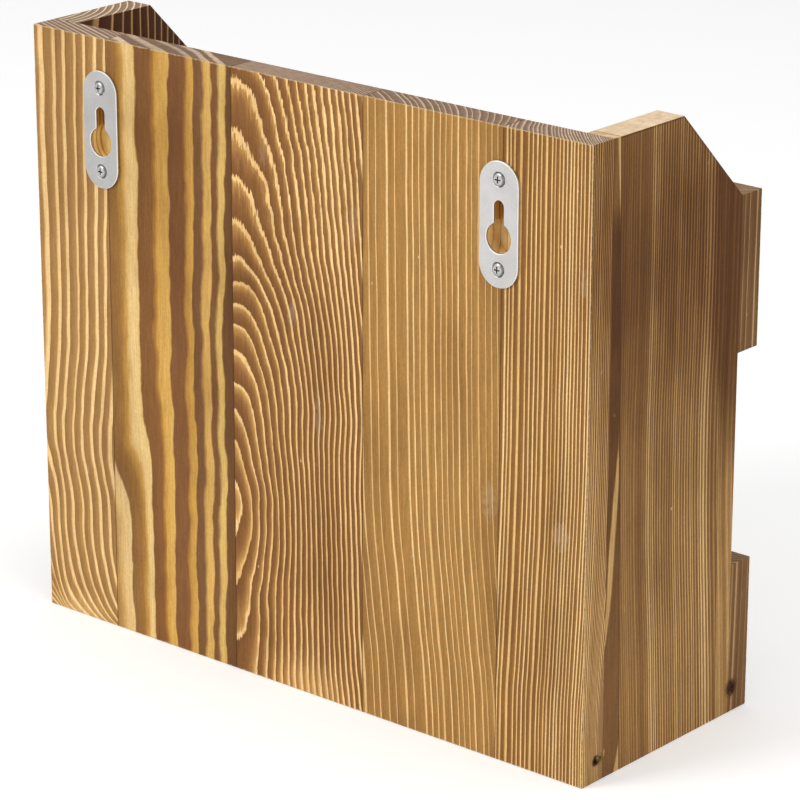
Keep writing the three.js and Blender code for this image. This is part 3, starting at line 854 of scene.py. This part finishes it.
# Painted highlight: the rim is coloured near white
colour = new("Mix RGBA", [rim, satin, "FAFAF8"])
dull = new("MapRange", [both, 0.3, 0.7, 0.46, 0.36])
rough = new("Mix", [rim, dull, 0.22])
relief = new("Bump", {"Height": grain, "Strength": 0.15, "Distance": 0.00005})
dress(plates, material, {"Base Color": colour, "Metallic": 1, "Roughness": rough, "Normal": relief})

# %% [markdown]
# The screws have bright nickel plate, smoother than the zinc. Their cross recess is painted dark from 0.2
# mm below the top of the head: painted shade, with some grease.

# %% Screws
HEAD_TOP = 0.0642
screws = [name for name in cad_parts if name.endswith("screw")]
material, new = new_tree("bright_nickel_plate")
where = new("TexCoord")
grain = new("TexNoise", [where.outputs["Object"], 1600, 2])
plated = new("ValToRGB", [grain], stops=[(0.3, "A9A8A5"), (0.7, "C6C5C1")])
at = new("SeparateXYZ", [where.outputs["Object"]])
# Painted shade with some grease: the cross recess is coloured dark
recess_shade_and_grease = new("MapRange", [at.outputs["Y"], HEAD_TOP - 0.0002, HEAD_TOP - 0.0005, 0, 0.8])
colour = new("Mix RGBA", [recess_shade_and_grease, plated, "4A4846"])
rough = new("MapRange", [grain, 0.3, 0.7, 0.34, 0.24])
dress(screws, material, {"Base Color": colour, "Metallic": 1, "Roughness": rough})

# %% [markdown]
# The hidden dowels are turned from beech, the usual wood for them, because it is hard and even. It shows
# short flecks, about 2 mm long.

# %% Dowels
dowels = [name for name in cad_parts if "dowel" in name]
material, new = new_tree("turned_beech")
where = new("TexCoord")
flecks = new("TexNoise", [where.outputs["Object"], 500, 3])
colour = new("ValToRGB", [flecks], stops=[(0.35, "C9A77A"), (0.65, "DFC198")])
dress(dowels, material, {"Base Color": colour, "Roughness": 0.6, "IOR": 1.5})

# %% [markdown]
# ## Edges
# A bevel of 0.16 mm takes the sharpness off the boards, and the tumbled plates have a rounder one of 0.45
# mm. The models are loose triangles, so a weld joins their corners first, and flat triangles are dissolved
# into whole faces, or they would squeeze the bevel. All three are modifiers, because the measured meshes
# stay as they are. A wider bevel on the wood would fold over itself in the pockets, and the slanted walls of
# the open knots are left out.

# %% Small bevels on boards and plates
WOOD_EDGE, STEEL_EDGE = {"width": 0.00016, "segments": 2}, {"width": 0.00045, "segments": 3}
SAME_CORNER = 0.00001
boards = [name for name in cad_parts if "stave" in name or name == "bottom_board"]
EDGE = {"limit_method": "ANGLE", "angle_limit": 1.2, "use_clamp_overlap": False, "loop_slide": False}
for name in boards + plates:
    for title, kind, settings in (
            ("weld", "WELD", {"merge_threshold": SAME_CORNER}),
            ("whole_faces", "DECIMATE", {"decimate_type": "DISSOLVE", "angle_limit": radians(1)}),
            ("edge", "BEVEL", {**EDGE, **(STEEL_EDGE if name in plates else WOOD_EDGE)})):
        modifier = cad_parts[name].modifiers.new(title, kind)
        for setting, value in settings.items():
            setattr(modifier, setting, value)
print("eased edges on", len(boards + plates), "pieces")

# %% [markdown]
# ## Floor
# The studio was white. Paper only looks white under light that is too strong for the wood, so it glows a
# little, but only for the camera and for mirror-like reflections, and it keeps the holder's shadow.

# %% White floor
FLOOR_SIZE, FLOOR_GAP = 14, 0.0002
PAPER, PAPER_GLOW = (0.86, 0.86, 0.86, 1), 0.3


def seen_directly(new):
    """The node that tells rays apart, and 1 for rays from the camera and for mirror-like reflections."""
    rays = new("LightPath")
    sockets = [rays.outputs["Is Camera Ray"], rays.outputs["Is Glossy Ray"]]
    return rays, new("Math MAXIMUM", sockets)


bpy.ops.mesh.primitive_plane_add(size=FLOOR_SIZE, location=(0, 0, -FLOOR_GAP))
floor = bpy.context.object
floor.name = "studio_floor"
material, new = new_tree("white_paper_floor")
rays, direct = seen_directly(new)
strength = new("Math MULTIPLY", [direct, PAPER_GLOW])
paper = new("BsdfDiffuse", {"Color": PAPER})
glow = new("Emission", {"Color": (1, 1, 1, 1), "Strength": strength})
both = new("AddShader", [paper, glow])
new("OutputMaterial", {"Surface": both})
floor.data.materials.append(material)
print("floor of", [round(side, 1) for side in floor.dimensions[:2]], "m")

# %% [markdown]
# ## Room and lamps
# The surroundings are white for the camera and for reflections, and half as strong as a light. Three large
# soft lamps do the rest: the main one stands at the left of the picture, a little above the holder, so the
# back panel is brighter than the side. A colour renders about as it is written at this level.

# %% White room
ROOM_LIGHT = 0.5
room = bpy.data.worlds.new("white_room")
room.use_nodes = True
room.node_tree.nodes.clear()
bpy.context.scene.world = room
new = partial(add, room.node_tree)
rays, direct = seen_directly(new)
direct = new("Math MAXIMUM", [direct, rays.outputs["Is Transmission Ray"]])
strength = new("MapRange", [direct, 0, 1, ROOM_LIGHT, 1])
sky = new("Background", {"Color": (1, 1, 1, 1), "Strength": strength})
new("OutputWorld", {"Surface": sky})
print("room with", len(room.node_tree.nodes), "nodes")

# %% Soft lamps
AIM = Vector((0, 0, 0.15))


def soft_lamp(name, place, size, watts):
    """A square area lamp at a place, aimed at the middle of the holder, sizes in metres."""
    lamp = bpy.data.lights.new(name, "AREA")
    lamp.size = size
    lamp.energy = watts
    holder = bpy.data.objects.new(name, lamp)
    bpy.context.scene.collection.objects.link(holder)
    holder.location = place
    holder.rotation_euler = (AIM - holder.location).to_track_quat("-Z", "Y").to_euler()
    print(name, "lamp of", watts, "W,", round(holder.location.length, 2), "m away")


soft_lamp("key", (1.1, 2.2, 1.5), 1.2, 34)
soft_lamp("side", (-2.4, 0.6, 0.7), 1.2, 14)
soft_lamp("top", (-0.2, 0, 2.6), 1.4, 16)

# %% [markdown]
# ## Camera
# A long lens keeps upright edges nearly parallel. Matching the corners of the holder gives 168 mm on a
# full-frame sensor, 1.8 m away, looking down at the rear corner. The view transform is Standard, so the
# colours above arrive unchanged.

# %% The photograph's view
LENS, SENSOR = 167.86, 36
STAND, TURN = (-1.10307, 1.27832, 0.71756), (70.8391, -0.0404, -139.4308)
camera_data = bpy.data.cameras.new("camera")
camera_data.lens = LENS
camera_data.sensor_width = SENSOR
camera_data.clip_end = 50
camera = bpy.data.objects.new("camera", camera_data)
bpy.context.scene.collection.objects.link(camera)
bpy.context.scene.camera = camera
camera.location = STAND
camera.rotation_euler = [radians(angle) for angle in TURN]
bpy.context.scene.view_settings.view_transform = "Standard"
print("camera at", [round(v, 3) for v in camera.location])
